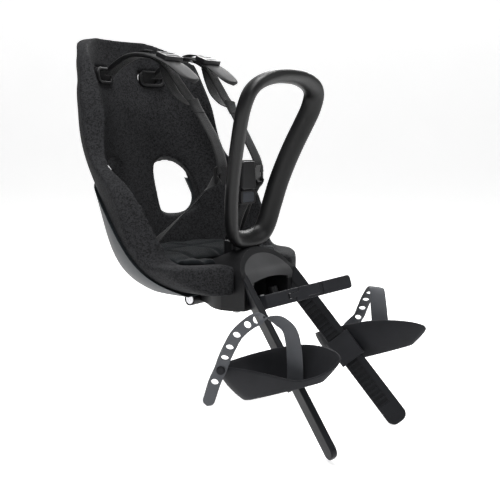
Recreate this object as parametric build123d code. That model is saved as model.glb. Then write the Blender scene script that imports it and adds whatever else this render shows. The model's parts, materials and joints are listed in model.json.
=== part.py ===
from build123d import *
import os
from math import atan2, cos, radians, sin, sqrt

# A front child seat for a bicycle: a foam bucket in a hard shell, on a base that clamps to the stem.
# Millimetres. X points forward, Y to the child's left and Z up.
# The origin is the middle of the stem clamp's bore.

# Stem clamp
stem_diameter = 25.4
stem_tilt = 18.0
clamp_height = 22.0
liner_wall = 2.0
gate_turn = 35.0
gate_front = 24.2
gate_split = 1.0
gate_back_end = 36.0
seam_low = 20.0
seam_high = 31.0
seam_gap = 0.8
hinge_place = (2.0, -27.0)
hinge_radius = 9.0
hinge_pin_radius = 3.0
knuckle_half = 3.7
lever_back = 12.0
lever_reach = 120.0
lever_step = 67.0
lever_pivot = (21.5, 14.0)
lever_pin_radius = 1.8
tab_half = 4.0
clamp_bolt_place = (-27.0, 28.0)
clamp_bolt_radius = 7.5
clamp_bolt_height = 12.0
bolt_shank_radius = 4.0
bolt_shank_length = 11.0
neck_thick = 13.0

# Fits
running_gap = 0.3
pin_gap = 0.05
seat_gap = 0.3

# Bucket: height, rear end, half width and depth of the round back, inside and outside the foam at each level
cavity_levels = ((58, -276, 122, 85), (112, -289, 142, 100), (184, -309, 152, 106), (250, -322, 150, 105),
                 (335, -338, 143, 100), (428, -351, 120, 84))
outer_levels = ((12, -250, 100, 110), (40, -286, 151, 166), (72, -301, 174, 191), (114, -314, 187, 206),
                (186, -338, 182, 180), (252, -355, 176, 124), (337, -368, 170, 119), (424, -381, 140, 98))
# Top of the back seen from the front: distance from the middle and height
crown_points = ((0, 424), (58, 423.5), (109, 404.5), (134, 385), (160, 355))
bucket_middle = -196.0
outer_nose_length = 180.0
outer_nose_width = 206.0
cavity_nose_length = 150.0
cavity_nose_width = 165.0

# Rim: forward place, height and half width of its inner edge in side view, from the top of the back to the lip
rim_points = ((-300, 440, 118), (-289, 405, 124), (-272, 359, 136), (-252, 297, 146), (-238, 232, 150),
              (-173, 178, 150), (-148, 141, 147), (-128, 96, 138), (-98, 64, 119))
lip_height = 62.0
rim_bevel = 0.8
rim_inner_side = 118.0
rim_outer_side = 205.0

# Holes and slots in the back
hole_side = 67.0
hole_height = 177.0
hole_width = 84.0
hole_tall = 114.0
hole_slant = 28.0
hole_round = 32.0
hole_flare = 11.0
slot_side = 58.0
slot_height = 364.0
slot_width = 40.0
slot_tall = 18.0
slot_round = 7.0
bezel_rim = 5.5
bezel_round = 12.0
bezel_depth = 6.0
bezel_proud = 2.0

# Outer shell
shell_wall = 5.0
shell_rear_height = 178.0
shell_front = -100.0

# Base
base_half = 70.0
recess_half = 46.0
base_front = -14.0
pod_bottom = -15.0
pod_rear = -204.0
pod_rear_half = 14.0
notch_rear = -118.0
console_top = 80.0
leg_top = 33.0
cover_thick = 3.0
cover_frame = 9.0
cover_edge = 31.0
cover_arch = 5.0
recess_wall = -60.0
lock_place = (-148.0, -11.0)
lock_face = 50.0
lock_radius = 10.5
lock_plug_radius = 8.5
lock_plug_depth = 8.0

# Grab loop
loop_lean = 17.0
loop_foot = (-68.0, 83.0)
loop_height = 293.0
loop_half = 112.0
loop_shoulder = 223.0
loop_shoulder_round = 46.0
loop_foot_round = 26.0
loop_thick = 19.0
loop_deep = 32.0
loop_flare = 30.0
loop_base_half = 32.0
loop_base_deep = 34.0
loop_base_groove = 4.0

# Seat pad and screws
pad_thick = 10.0
pad_gap = 3.0
screw_places = ((-100.0, 24.0), (-40.0, 58.0))
screw_head_radius = 5.5
screw_head_height = 4.0
screw_shank_radius = 2.5
screw_shank_length = 14.0

# Rails and foot rests
rail_top = (-24.5, 59.0, 33.5)
rail_tip = (172.0, 100.0, -195.5)
rail_turn = 18.0
rail_width = 34.0
rail_thick = 10.0
rail_cap_length = 16.0
rack_side = -4.0
rack_width = 21.0
rack_sink = 1.5
rack_pitch = 9.0
rack_rung = 3.2
rack_depth = 4.5
rack_start = 42.0
rack_end = 20.0
rail_pocket = ((-1.0, 7.0), (-1.0, 31.0), (-14.0, 21.0))
rail_pocket_depth = 2.5
clip_place = 158.0
clip_length = 46.0
clip_wall = 4.5
clip_outer = 23.0
button_width = 16.0
button_thick = 7.0
button_length = 26.0
button_travel = 4.0
cup_place = (108.5, 132.0, -101.0)
cup_pitch = 21.0
cup_wall = 3.0
cup_toe_wall = 8.0
cup_floor = 3.5
cup_floor_half = 20.0
cup_floor_heel = 74.0
cup_floor_toe = 64.0
cup_bend = 16.0
cup_bend_half = 29.0
cup_bend_heel = 86.0
cup_bend_toe = 92.0
cup_rim_half = 36.0
cup_rim_heel = 104.0
cup_rim_toe = 122.0
cup_form_height = 64.0
strap_root = (120.5, 124.0)
strap_heading = 153.7
# Foot strap: outward place, height, width and twist at each station, then length share and twist of each hole
strap_stations = ((0, -90, 30, 64), (1, -40, 30, 64), (14, -4, 26, 58), (50, 10, 22, 53), (90, -22, 22, 80),
                  (108, -75, 21, 90), (121, -114, 19, 90), (125, -125, 16, 90), (127, -131, 7, 90))
strap_holes = ((0.40, 54), (0.47, 57), (0.54, 67), (0.61, 79), (0.68, 84), (0.735, 88), (0.855, 90), (0.925, 90))
strap_hole_size = (12.0, 8.0)
foot_strap_thick = 2.5
peg_place = (108.0, -75.0)
peg_stem_radius = 3.5
peg_head_radius = 6.5

# Harness
webbing_width = 24.0
webbing_thick = 1.8
shoulder_side = 48.0
shoulder_points = ((-321, 364), (-300, 377), (-262, 391), (-215, 389), (-170, 371), (-146, 346), (-134, 309),
                   (-113, 279), (-95, 252), (-80, 222), (-75.5, 200))
pad_line = ((-314, 372), (-303, 380), (-265, 394.4), (-218, 392.4), (-172, 375), (-128, 346))
pad_leaf = ((-312, 13), (-262, 17), (-196, 23), (-158, 20))
pad_tip = -131.0
shoulder_pad_thick = 5.0
adjuster_place = (-190.0, 384.0)
adjuster_slope = 21.0
adjuster_size = (26.0, 42.0, 7.0)
buckle_place = (-68.0, 185.5)
buckle_size = (18.0, 42.0, 72.0)
buckle_plate = 12.0
buckle_panel = (32.0, 38.0, 46.0)
buckle_margin = 1.5
buckle_frame_rise = 4.0
buckle_button_size = (7.0, 28.0, 16.0)
buckle_button_low = 4.5
buckle_button_travel = 3.0
tongue_end = (-78.0, 54.0)
tongue_height = 198.0
tongue_thick = 3.0
lap_top = (-79.0, 54.0, tongue_height - 3.0)
lap_foot = (-194.0, 111.0, 66.0)
crotch_points = ((-70, 151), (-86, 116), (-99, 56))
crotch_thick = 3.0


def side_plane(y):
    """Drawing plane seen from the right side: forward to the right, up upwards."""
    return Plane.XZ.offset(-y)


def plan_section(height, rear, half_width, depth, front=40.0):
    """D-shaped level of the bucket: an elliptical back and straight sides."""
    corner = rear + depth
    back = EllipticalCenterArc((corner, 0), depth, half_width, 90, arc_size=180)
    sides = Polyline((corner, -half_width), (front, -half_width), (front, half_width), (corner, half_width))
    return Plane.XY.offset(height) * make_face(back + sides)


def bucket_form(levels, nose_length, nose_width, grow=0.0, drop=0.0):
    """Solid form of the bucket through its levels, rounded in front, grown outward by one amount."""
    first = levels[0][0]
    sections = [
        plan_section(z - (drop if z == first else 0), rear - grow, half + grow, depth + grow)
        for z, rear, half, depth in levels
    ]
    form = loft(sections)
    nose = Pos(bucket_middle, 0, -50) * extrude(Ellipse(nose_length + grow, nose_width + grow), 600)
    rear_half = Pos(bucket_middle - 300, 0, 250) * Box(600, 600, 700)
    return form & (nose + rear_half)


def rim_outline(y):
    """Side view of what is cut away in front of the rim, at one distance from the middle."""
    points = [(x + rim_bevel * (half - y), z) for x, z, half in rim_points]
    lip_start = (points[-1][0] + 24, lip_height)
    edge = Spline(*points, lip_start, tangents=((0.3, -1), (1, 0)))
    rest = Polyline(lip_start, (150, lip_height), (150, points[0][1]), points[0])
    return side_plane(y) * make_face(edge + rest)


def rim_cutters():
    """What lies in front of and above the rim; the side parts slant, so that the rim faces forward and outward."""
    slant = Vector(-rim_bevel, 1, 0)
    side = extrude(rim_outline(rim_inner_side - 1), (rim_outer_side - rim_inner_side) * slant.length, dir=slant)
    middle = extrude(rim_outline(rim_inner_side), 2 * rim_inner_side, dir=(0, -1, 0))
    return middle, side, mirror(side, about=Plane.XZ)


def cavity_at(height):
    """Rear end, half width and depth of the cavity's back at any height."""
    for low, high in zip(cavity_levels, cavity_levels[1:]):
        if low[0] <= height <= high[0]:
            share = (height - low[0]) / (high[0] - low[0])
            return [a + share * (b - a) for a, b in zip(low[1:], high[1:])]
    return cavity_levels[-1][1:]


def wall_x(y, z):
    """Forward place of the back's inner face."""
    rear, half, depth = cavity_at(z)
    return rear + depth - depth * sqrt(1 - (y / half) ** 2)


def wall_plane(y, z):
    """Plane on the back's inner face: local X outward to the left, local Y up, local Z out of the foam."""
    step = 4.0
    across = (wall_x(y + step, z) - wall_x(y - step, z)) / (2 * step)
    along = (wall_x(y, z + step) - wall_x(y, z - step)) / (2 * step)
    return Plane(origin=(wall_x(y, z), y, z), x_dir=(across, 1, 0), z_dir=(1, -across, -along))


def back_hole():
    """Oval hole through the back on the left, with a flared front edge."""
    half, tall, slant = hole_width / 2, hole_tall / 2, hole_slant / 2
    corners = ((half - slant, tall), (-half - slant, tall), (-half + slant, -tall), (half + slant, -tall))
    outline = Polygon(*corners, align=None)
    outline = fillet(outline.vertices(), hole_round)
    plane = wall_plane(hole_side, hole_height)
    through = extrude(plane.offset(-70) * outline, 110)
    flare = loft([plane.offset(-14) * outline, plane.offset(22) * offset(outline, hole_flare * 2)])
    return through + flare


def bezel_outline(grow=0.0):
    """Outline of a shoulder slot's bezel."""
    border = 2 * (bezel_rim + grow)
    return RectangleRounded(slot_width + border, slot_tall + border, bezel_round + grow)


def slot_opening():
    """Outline of the hole that the webbing passes through."""
    return RectangleRounded(slot_width, slot_tall, slot_round)


def shoulder_slot():
    """What the foam loses on the left for the webbing and its bezel."""
    plane = wall_plane(slot_side, slot_height)
    pocket = extrude(plane.offset(-bezel_depth) * bezel_outline(seat_gap), bezel_depth + 25)
    through = extrude(plane.offset(-80) * slot_opening(), 100)
    return pocket + through


def make_slot_bezel():
    """Moulded ring in the left shoulder slot, seated on the floor of its pocket."""
    plane = wall_plane(slot_side, slot_height)
    ring = extrude(plane.offset(-bezel_depth) * (bezel_outline() - slot_opening()), bezel_depth + bezel_proud)
    front = ring.faces().sort_by(Axis((0, 0, 0), plane.z_dir))[-1]
    return fillet(front.edges(), 1.8)


def console_notch(gap):
    """Room for the console through the front of the bucket."""
    room = Box(400, 2 * (base_half + gap), 400, align=(Align.MIN, Align.CENTER, Align.CENTER))
    return Pos(notch_rear - gap, 0, 0) * room


def both(part):
    """A left piece with its mirror image."""
    return part + mirror(part, about=Plane.XZ)


def crown():
    """Everything below the arched top of the back."""
    right = [(-y, z) for y, z in reversed(crown_points)]
    top = Spline(*right, *crown_points[1:])
    wide, low = 300, -100
    rest = Polyline(crown_points[-1], (wide, 200), (wide, low), (-wide, low), (-wide, 200), right[0])
    return extrude(Plane.YZ.offset(-600) * make_face(top + rest), 800)


def make_foam_liner():
    """Bucket of expanded foam."""
    foam = bucket_form(outer_levels, outer_nose_length, outer_nose_width) & crown()
    foam -= bucket_form(cavity_levels, cavity_nose_length, cavity_nose_width)
    for cutter in rim_cutters():
        foam -= cutter
    foam -= console_notch(seat_gap)
    foam -= both(back_hole())
    foam -= both(shoulder_slot())
    return foam


def make_outer_shell():
    """Hard shell round the lower back and sides."""
    outside = seat_gap + shell_wall
    shell = bucket_form(outer_levels, outer_nose_length, outer_nose_width, outside, outside)
    shell -= bucket_form(outer_levels, outer_nose_length, outer_nose_width, seat_gap, seat_gap)
    rear = outer_levels[3][1] - 40
    top = Spline((rear, shell_rear_height + 8), (-290, shell_rear_height), (-180, 92), (shell_front, 9),
                 tangents=((1, 0), (1, -0.6)))
    below = Polyline((shell_front, 9), (shell_front, -60), (rear, -60), (rear, shell_rear_height + 8))
    keep = extrude(side_plane(-300) * make_face(top + below), 600, dir=(0, 1, 0))
    shell &= keep
    shell -= console_notch(seat_gap)
    return shell - both(back_hole())


def make_base_frame_form(inset=0.0):
    """Solid outline of the console: its side view where it is inside the arch seen from the front."""
    top = console_top - inset
    slope = Spline((-98, top - 20), (-46, top), (-26 - inset, leg_top + 18), (base_front - inset, leg_top),
                   tangents=((1, 0.45), (0.35, -1)))
    low = shell_underside()
    rest = Polyline((base_front - inset, leg_top), (base_front - inset, low - 10), (-62, low - 10), (-62, low),
                    (notch_rear, low), (notch_rear, top - 40), (-98, top - 20))
    side = extrude(side_plane(-base_half) * make_face(slope + rest), 2 * base_half, dir=(0, 1, 0))
    return side & console_arch(0.0)


def console_arch(inset):
    """Prism along the seat with the console's arched front outline, narrower by one amount all round."""
    half = base_half - inset
    rise = console_top - leg_top - inset + 1
    crown = EllipticalCenterArc((0, leg_top), half, rise, 0, arc_size=180)
    legs = Polyline((-half, leg_top), (-half, -60), (half, -60), (half, leg_top))
    return extrude(Plane.YZ.offset(-300) * make_face(crown + legs), 500)


def shell_underside():
    """Height of the flat underside of the shell, where the base is fixed."""
    return outer_levels[0][0] - seat_gap - shell_wall


def make_pod():
    """Boat-shaped part of the base under the seat."""
    side = Spline((pod_rear, pod_rear_half), (-158, 24), (-110, 48), (-62, base_half),
                  tangents=((1, 0.1), (1, 0.2)))
    ends = Polyline((-62, base_half), (base_front, base_half), (base_front, 0), (pod_rear, 0),
                    (pod_rear, pod_rear_half))
    plan = make_face(side + ends)
    plan += mirror(plan, about=Plane.XZ)
    body = extrude(Plane.XY.offset(-60) * plan, 60 + shell_underside())
    keel = Spline((pod_rear, -12), (-134, pod_bottom + 1), (-90, pod_bottom), (base_front, pod_bottom + 4),
                  tangents=((0.8, -0.5), (1, 0.15)))
    above = Polyline((base_front, pod_bottom + 4), (base_front, 30), (pod_rear, 30), (pod_rear, -12))
    body &= extrude(side_plane(-100) * make_face(keel + above), 200, dir=(0, 1, 0))
    return body


def recess():
    """Open space between the legs, with an arched top."""
    crown = ThreePointArc((-recess_half, cover_edge), (0, cover_edge + cover_arch), (recess_half, cover_edge))
    sides = Polyline((recess_half, cover_edge), (recess_half, -80), (-recess_half, -80), (-recess_half, cover_edge))
    return extrude(Plane.YZ.offset(recess_wall) * make_face(crown + sides), 200)


def make_console_cover():
    """Domed cover on the console's front slope."""
    skin = make_base_frame_form() - make_base_frame_form(cover_thick)
    skin &= console_arch(cover_frame)
    skin -= recess()
    front = Pos(-50, 0, cover_edge - 4) * Box(200, 300, 400, align=(Align.MIN, Align.CENTER, Align.MIN))
    return skin & front


def make_base_frame(cover):
    """Moulded chassis: pod under the seat and inverted U in front."""
    frame = make_pod() + make_base_frame_form()
    frame -= recess()
    for place in screw_places:
        frame -= both(screw(place, pin_gap))
    return frame - cover


def lock_plane():
    """Plane of the lock's face on the right side, looking outward."""
    return Plane(origin=(lock_place[0], -lock_face, lock_place[1]), x_dir=(1, 0, 0), z_dir=(0, -1, 0))


def make_lock_housing(base):
    """Barrel of the lock, from the pod's side outward, with a pocket for the plug."""
    plane = lock_plane()
    barrel = extrude(plane * Circle(lock_radius), -(lock_face - 2))
    barrel -= extrude(plane * Circle(lock_plug_radius + running_gap), -lock_plug_depth)
    return barrel - base


def make_lock_plug():
    """Turning face of the lock."""
    plane = lock_plane()
    plug = extrude(plane.offset(-lock_plug_depth) * Circle(lock_plug_radius), lock_plug_depth - 0.5)
    return chamfer(plug.edges().sort_by(Axis.Y)[0], 0.8)


def loop_plane():
    """Leaning plane of the grab loop: local X to the left, local Y up, local Z forward."""
    lean = radians(loop_lean)
    return Plane(origin=(loop_foot[0], 0, loop_foot[1]), x_dir=(0, 1, 0), z_dir=(cos(lean), 0, -sin(lean)))


def loop_margin():
    """Half of the loop's thickness in its own plane, with the section turned by its flare."""
    turn = radians(loop_flare)
    return sqrt((loop_thick / 2 * cos(turn)) ** 2 + (loop_deep / 2 * sin(turn)) ** 2)


def loop_path():
    """Closed teardrop: a small arc at the foot, straight legs, two shoulders and a wide arc at the top."""
    margin = loop_margin()
    foot_centre = Vector(0, margin + loop_foot_round)
    shoulder_x = loop_half - margin - loop_shoulder_round
    shoulder_centre = Vector(shoulder_x, loop_shoulder)
    top = loop_height - margin
    rise = top - loop_shoulder
    top_round = (shoulder_x ** 2 + rise ** 2 - loop_shoulder_round ** 2) / (2 * (rise - loop_shoulder_round))
    top_centre = Vector(0, top - top_round)
    gap = shoulder_centre - foot_centre
    lean = atan2(gap.Y, gap.X)
    spread = (loop_foot_round - loop_shoulder_round) / gap.length
    normal_angle = lean - atan2(sqrt(1 - spread ** 2), spread)
    normal = Vector(cos(normal_angle), sin(normal_angle))
    leg_low = foot_centre + normal * loop_foot_round
    leg_high = shoulder_centre + normal * loop_shoulder_round
    blend = top_centre + (shoulder_centre - top_centre).normalized() * top_round
    toward = (normal + (shoulder_centre - top_centre).normalized()).normalized()
    shoulder_mid = shoulder_centre + toward * loop_shoulder_round
    foot_mid = foot_centre + (normal + Vector(0, -1)).normalized() * loop_foot_round
    foot = foot_centre - Vector(0, loop_foot_round)
    top_mid = top_centre + (blend - top_centre + Vector(0, top_round)).normalized() * top_round
    half = [
        ThreePointArc(foot, foot_mid, leg_low),
        Line(leg_low, leg_high),
        ThreePointArc(leg_high, shoulder_mid, blend),
        ThreePointArc(blend, top_mid, (0, top)),
    ]
    other = [edge.mirror(Plane.YZ) for edge in half]
    return loop_plane() * Wire(half + other), loop_plane().from_local_coords(foot)


def make_grab_loop():
    """Padded bar of canted oval section along the loop's path."""
    path, start = loop_path()
    lean = radians(loop_lean)
    section_plane = Plane(origin=start, x_dir=(cos(lean), 0, -sin(lean)), z_dir=(0, 1, 0))
    section = section_plane * (Rot(0, 0, loop_flare) * Ellipse(loop_deep / 2, loop_thick / 2))
    return sweep(section, path=path)


def make_loop_base(base, loop):
    """Block behind the dome that carries the loop."""
    outline = RectangleRounded(loop_base_deep, 2 * loop_base_half, 8)
    middle = loop_foot[0] - 6
    block = Pos(middle, 0, console_top - 22) * extrude(outline, 22 + loop_margin())
    rib = Box(loop_base_groove, loop_base_groove, 200)
    block -= both(Pos(middle + loop_base_deep / 2, loop_base_half - 12, console_top) * rib)
    block -= both(Pos(middle + loop_base_deep / 6, loop_base_half, console_top) * rib)
    return largest(block - base - loop)


def rail_plane():
    """Left rail's own plane: local X across its width, local Y through it and inward, local Z down its length."""
    top = Vector(*rail_top)
    axis = (Vector(*rail_tip) - top).normalized()
    heading = atan2(axis.Y, axis.X) + radians(rail_turn)
    ahead = Vector(cos(heading), sin(heading), 0)
    return Plane(origin=top, x_dir=ahead - axis * ahead.dot(axis), z_dir=axis)


def rail_length():
    """Length of a rail from its seam to the end of its cap."""
    return (Vector(*rail_tip) - Vector(*rail_top)).length


def make_foot_rail():
    """Left rail: flat bar with a rack in a channel on its inner face."""
    body_end = rail_length() - rail_cap_length
    bar = Pos(0, 0, -60) * Box(rail_width, rail_thick, body_end + 60, align=(Align.CENTER, Align.CENTER, Align.MIN))
    bar = fillet(bar.edges().filter_by(Axis.Z), 2.5)
    face = rail_thick / 2
    span = body_end - rack_end - rack_start
    channel = Box(rack_width, 2 * rack_sink, span, align=(Align.CENTER, Align.CENTER, Align.MIN))
    bar -= Pos(rack_side, face, rack_start) * channel
    count = int(span // rack_pitch)
    pocket = Box(rack_width - 3, 2 * rack_depth, rack_pitch - rack_rung)
    first = rack_start + rack_pitch / 2
    bar -= [Pos(rack_side, face, first + i * rack_pitch) * pocket for i in range(count)]
    corner = fillet(Polygon(*rail_pocket, align=None).vertices(), 2)
    inner_face = Plane(origin=(0, face, 0), x_dir=(1, 0, 0), z_dir=(0, -1, 0))
    bar -= extrude(inner_face * corner, rail_pocket_depth)
    rail = rail_plane() * bar
    front = Pos(base_front, 0, 0) * Box(600, 600, 900, align=(Align.MIN, Align.CENTER, Align.CENTER))
    return rail & front


def make_rail_cap():
    """Left rail's rounded end."""
    start = rail_length() - rail_cap_length
    outline = Rectangle(rail_width, rail_cap_length, align=(Align.CENTER, Align.MIN))
    outline = fillet(outline.vertices().group_by(Axis.Y)[-1], rail_cap_length * 0.8)
    cap = extrude(Plane(origin=(0, rail_thick / 2, start), x_dir=(1, 0, 0), z_dir=(0, -1, 0)) * outline, rail_thick)
    rounded = cap.edges().filter_by(Axis.Y, reverse=True).filter_by(lambda edge: edge.center().Z > start + 0.1)
    return rail_plane() * fillet(rounded, 2.4)


def cup_plane():
    """Left foot cup's plane: local X towards the toe, pitched up, local Y outward, local Z up."""
    pitch = radians(cup_pitch)
    return Plane(origin=cup_place, x_dir=(cos(pitch), 0, sin(pitch)), z_dir=(-sin(pitch), 0, cos(pitch)))


def boat(half, heel, toe, height):
    """Plan outline of the cup: round heel and narrower round toe."""
    side = Spline((-heel, 0), (-heel * 0.55, half * 0.98), (toe * 0.3, half * 0.86), (toe * 0.86, half * 0.36),
                  (toe, 0), tangents=((0, 1), (0, -1)))
    return Plane.XY.offset(height) * make_face(side + mirror(side, about=Plane.XZ))


def cup_form(wall, floor):
    """Solid form of the cup, or of its inside when a wall and a floor are given."""
    toe_wall = cup_toe_wall * (wall > 0)
    low = boat(cup_floor_half - wall, cup_floor_heel - wall, cup_floor_toe - toe_wall, floor)
    bend = boat(cup_bend_half - wall, cup_bend_heel - wall, cup_bend_toe - toe_wall, cup_bend)
    high = boat(cup_rim_half - wall, cup_rim_heel - wall, cup_rim_toe - toe_wall, cup_form_height)
    return loft([low, bend, high])


def cup_rim_outline(y, heights):
    """Side view of what is cut off above the cup's rim at one side."""
    along = (-130, -70, -30, 25, 65, 96, 140)
    points = list(zip(along, heights))
    edge = Polyline(*points, (140, 120), (-130, 120), points[0])
    return side_plane(y) * make_face(edge)


def make_foot_cup():
    """Left foot cup: hollow boat, high on the rail's side and dipped on the outer side."""
    cup = cup_form(0.0, 0.0) - cup_form(cup_wall, cup_floor)
    inner_rim = cup_rim_outline(-cup_rim_half - 4, (52, 58, 61, 58, 44, 24, 12))
    outer_rim = cup_rim_outline(cup_rim_half + 4, (50, 46, 36, 12, 12, 22, 12))
    cup -= loft([inner_rim, outer_rim], ruled=True)
    return cup_plane() * cup


def make_rail_clip():
    """Left collar round the rail, grown on its outer side to carry the cup."""
    thick = rail_thick + clip_wall + clip_outer
    outline = Rectangle(rail_width + 2 * clip_wall, thick, align=(Align.CENTER, Align.MAX))
    outline = fillet(outline.vertices().group_by(Axis.Y)[-1], 8)
    outline = fillet(outline.vertices().group_by(Axis.Y)[0], 10)
    outline = Pos(0, rail_thick / 2 + clip_wall, 0) * outline
    gap = 2 * running_gap
    outline -= Rectangle(rail_width + gap, rail_thick + gap)
    body = extrude(Plane.XY.offset(clip_place - clip_length / 2) * outline, clip_length)
    room = button_length + button_travel + 1
    pocket = Box(button_width + gap, button_thick + gap, room)
    body -= Pos(0, button_middle(), clip_place + clip_length / 2 - room / 2 + 8) * pocket
    return rail_plane() * body - cup_plane() * cup_form(0.0, 0.0)


def button_middle():
    """Place of the release button through the clip."""
    return -rail_thick / 2 - 3 - button_thick / 2


def make_clip_button():
    """Left release button, which slides up along the rail in the clip's lower end."""
    button = Box(button_width, button_thick, button_length)
    button = fillet(button.edges().filter_by(Axis.Z), 2)
    return rail_plane() * Pos(0, button_middle(), clip_place + clip_length / 2 - button_length / 2 + 8) * button


def ribbon(plane, points, width, thick):
    """Flat band along a smooth line drawn in a plane."""
    path = plane * Spline(*points)
    start = Plane(origin=path @ 0, x_dir=plane.z_dir, z_dir=path % 0)
    return sweep(start * Rectangle(width, thick), path=path)


def clamp_plane():
    """Middle plane of the clamp: local X forward, local Y to the left, local Z up the stem."""
    tilt = radians(stem_tilt)
    return Plane(origin=(0, 0, 0), x_dir=(cos(tilt), 0, sin(tilt)), z_dir=(-sin(tilt), 0, cos(tilt)))


def bar_plane():
    """Clamp plane turned so that local X is square to the gate's front and local Y runs along it to the left."""
    plane = clamp_plane()
    turn = radians(gate_turn)
    return Plane(origin=plane.origin, x_dir=plane.x_dir * cos(turn) - plane.y_dir * sin(turn), z_dir=plane.z_dir)


def bore_radius():
    """Radius of the clamp's bore before its rubber liners."""
    return stem_diameter / 2 + liner_wall


def post(place, radius, low, high):
    """Round post up the stem's direction at one place in the clamp."""
    return Pos(place[0], place[1], low) * Cylinder(radius, high - low, align=(Align.CENTER, Align.CENTER, Align.MIN))


def slab(corners, half):
    """Plate with the corners given, centred on the clamp's middle plane."""
    return extrude(Plane.XY.offset(-half) * Polygon(*corners, align=None), 2 * half)


def hinge_ears(grow):
    """Upper and lower ear of the gate's hinge."""
    half = clamp_height / 2
    room = hinge_radius + grow
    upper = post(hinge_place, room, knuckle_half + running_gap - grow, half + grow)
    return upper + mirror(upper, about=Plane.XY)


def lever_side(gap):
    """Everything on the lever's side of the slanted seam, in front of the gate's back half."""
    face = Plane(origin=(lever_back + gap, 0, 0), x_dir=(0, 1, 0), z_dir=(1, 0, 0))
    reach = clamp_height
    slope = (seam_high - seam_low) / clamp_height
    middle = (seam_low + seam_high) / 2 + gap
    corners = ((middle - slope * reach, -reach), (300, -reach), (300, reach), (middle + slope * reach, reach))
    return extrude(face * Polygon(*corners, align=None), 60)


def make_clamp_jaw(base):
    """Rear half of the clamp, fixed to the recess's back wall."""
    half = clamp_height / 2
    block = slab(((-gate_split, -30), (-gate_split, 34), (-26, 34), (-26, -30)), half)
    block += post(hinge_place, hinge_radius, -knuckle_half, knuckle_half)
    block -= post(hinge_place, hinge_pin_radius + pin_gap, -half, half)
    neck = Pos(-43.5, 9, half - neck_thick / 2) * Box(47, 62, neck_thick)
    neck -= post(clamp_bolt_place, bolt_shank_radius + pin_gap, half - bolt_shank_length, half)
    jaw = bar_plane() * block + clamp_plane() * neck
    jaw -= bar_plane() * hinge_ears(running_gap)
    jaw -= bar_plane() * Cylinder(bore_radius(), 100)
    return largest(jaw - base)


def make_clamp_bolt():
    """Round-headed bolt in the jaw."""
    half = clamp_height / 2
    head = post(clamp_bolt_place, clamp_bolt_radius, half, half + clamp_bolt_height)
    head = fillet(head.edges().sort_by(Axis.Z)[-1], 2.5)
    head += post(clamp_bolt_place, bolt_shank_radius, half - bolt_shank_length, half)
    return clamp_plane() * head


def make_clamp_gate():
    """Hinged front half of the clamp."""
    half = clamp_height / 2
    corners = ((gate_split, -27), (11, -35), (17, -35), (gate_front, -27), (gate_front, 50), (lever_back, 50),
               (lever_back, gate_back_end), (gate_split, gate_back_end))
    gate = slab(corners, half) - lever_side(0)
    gate -= Cylinder(bore_radius(), 100)
    gate -= slab(((15, 10.2), (40, 10.2), (40, 60), (15, 60)), tab_half + running_gap)
    gate += hinge_ears(0)
    gate -= post(hinge_place, hinge_radius + running_gap, -knuckle_half - running_gap, knuckle_half + running_gap)
    gate -= post(hinge_place, hinge_pin_radius + pin_gap, -half, half)
    gate -= post(lever_pivot, lever_pin_radius + pin_gap, -half, half)
    return bar_plane() * gate


def make_gate_pin():
    """Headed pin of the gate's hinge."""
    half = clamp_height / 2
    pin = post(hinge_place, hinge_pin_radius, -half - 1, half)
    return bar_plane() * (pin + post(hinge_place, hinge_pin_radius + 1.8, half + 0.2, half + 2.2)
                          + post(hinge_place, hinge_pin_radius, half, half + 1))


def make_latch_lever():
    """Lever across the gate's front, with a stepped grip block at its end."""
    half = clamp_height / 2
    lever = slab(((lever_back, 0), (gate_front, 0), (gate_front, lever_reach), (lever_back, lever_reach)), half)
    lever &= lever_side(seam_gap)
    lever = fillet(lever.edges().filter_by(Axis.X).group_by(Axis.Y)[-1], 5)
    groove = gate_front - 4
    lever -= slab(((groove, lever_step - 3), (40, lever_step - 3), (40, lever_step + 4), (groove, lever_step + 4)), 20)
    lever -= Pos(gate_front, (40 + lever_step) / 2, -half) * Box(8, lever_step - 46, 9)
    ridge = Box(40, 2, 2)
    lever -= [Pos(lever_back + 6, lever_step + 12 + 5 * i, half) * ridge for i in range(7)]
    lever += slab(((15.3, lever_pivot[1]), (gate_front, lever_pivot[1]), (gate_front, 36), (15.3, 36)), tab_half)
    lever += post(lever_pivot, gate_front - lever_pivot[0], -tab_half, tab_half)
    lever -= post(lever_pivot, lever_pin_radius + pin_gap, -half, half)
    return bar_plane() * lever


def make_lever_pin():
    """Plain pin of the lever."""
    half = clamp_height / 2
    return bar_plane() * post(lever_pivot, lever_pin_radius, -half, half)


def make_liner(front):
    """Rubber half-lining of the bore, in the gate or in the jaw."""
    half = clamp_height / 2
    ring = Cylinder(bore_radius(), 2 * half - 1) - Cylinder(stem_diameter / 2, 100)
    side = Pos(gate_split if front else -gate_split, 0, 0)
    keep = side * Box(100, 100, 100, align=(Align.MIN if front else Align.MAX, Align.CENTER, Align.CENTER))
    return bar_plane() * (ring & keep)


def make_seat_pad():
    """Washable pad on the seat floor, cut out round the console."""
    floor = cavity_levels[0][0]
    form = bucket_form(cavity_levels, cavity_nose_length, cavity_nose_width, -pad_gap)
    form &= Pos(-200, 0, floor) * Box(600, 600, pad_thick, align=(Align.CENTER, Align.CENTER, Align.MIN))
    form -= console_notch(pad_gap)
    top = form.faces().sort_by(Axis.Z)[-1]
    return chamfer(top.outer_wire().edges(), 3)


def screw(place, grow=0.0):
    """Screw from below into the base, or the room that it needs."""
    head_low = pod_bottom - 2
    depth = 60 * (grow > 0)
    height = screw_head_height + 8
    upward = (Align.CENTER, Align.CENTER, Align.MIN)
    head = Pos(*place, head_low - depth) * Cylinder(screw_head_radius + grow, height + depth, align=upward)
    shank = Pos(*place, head_low) * Cylinder(screw_shank_radius + grow, height + screw_shank_length, align=upward)
    return head + shank


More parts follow.
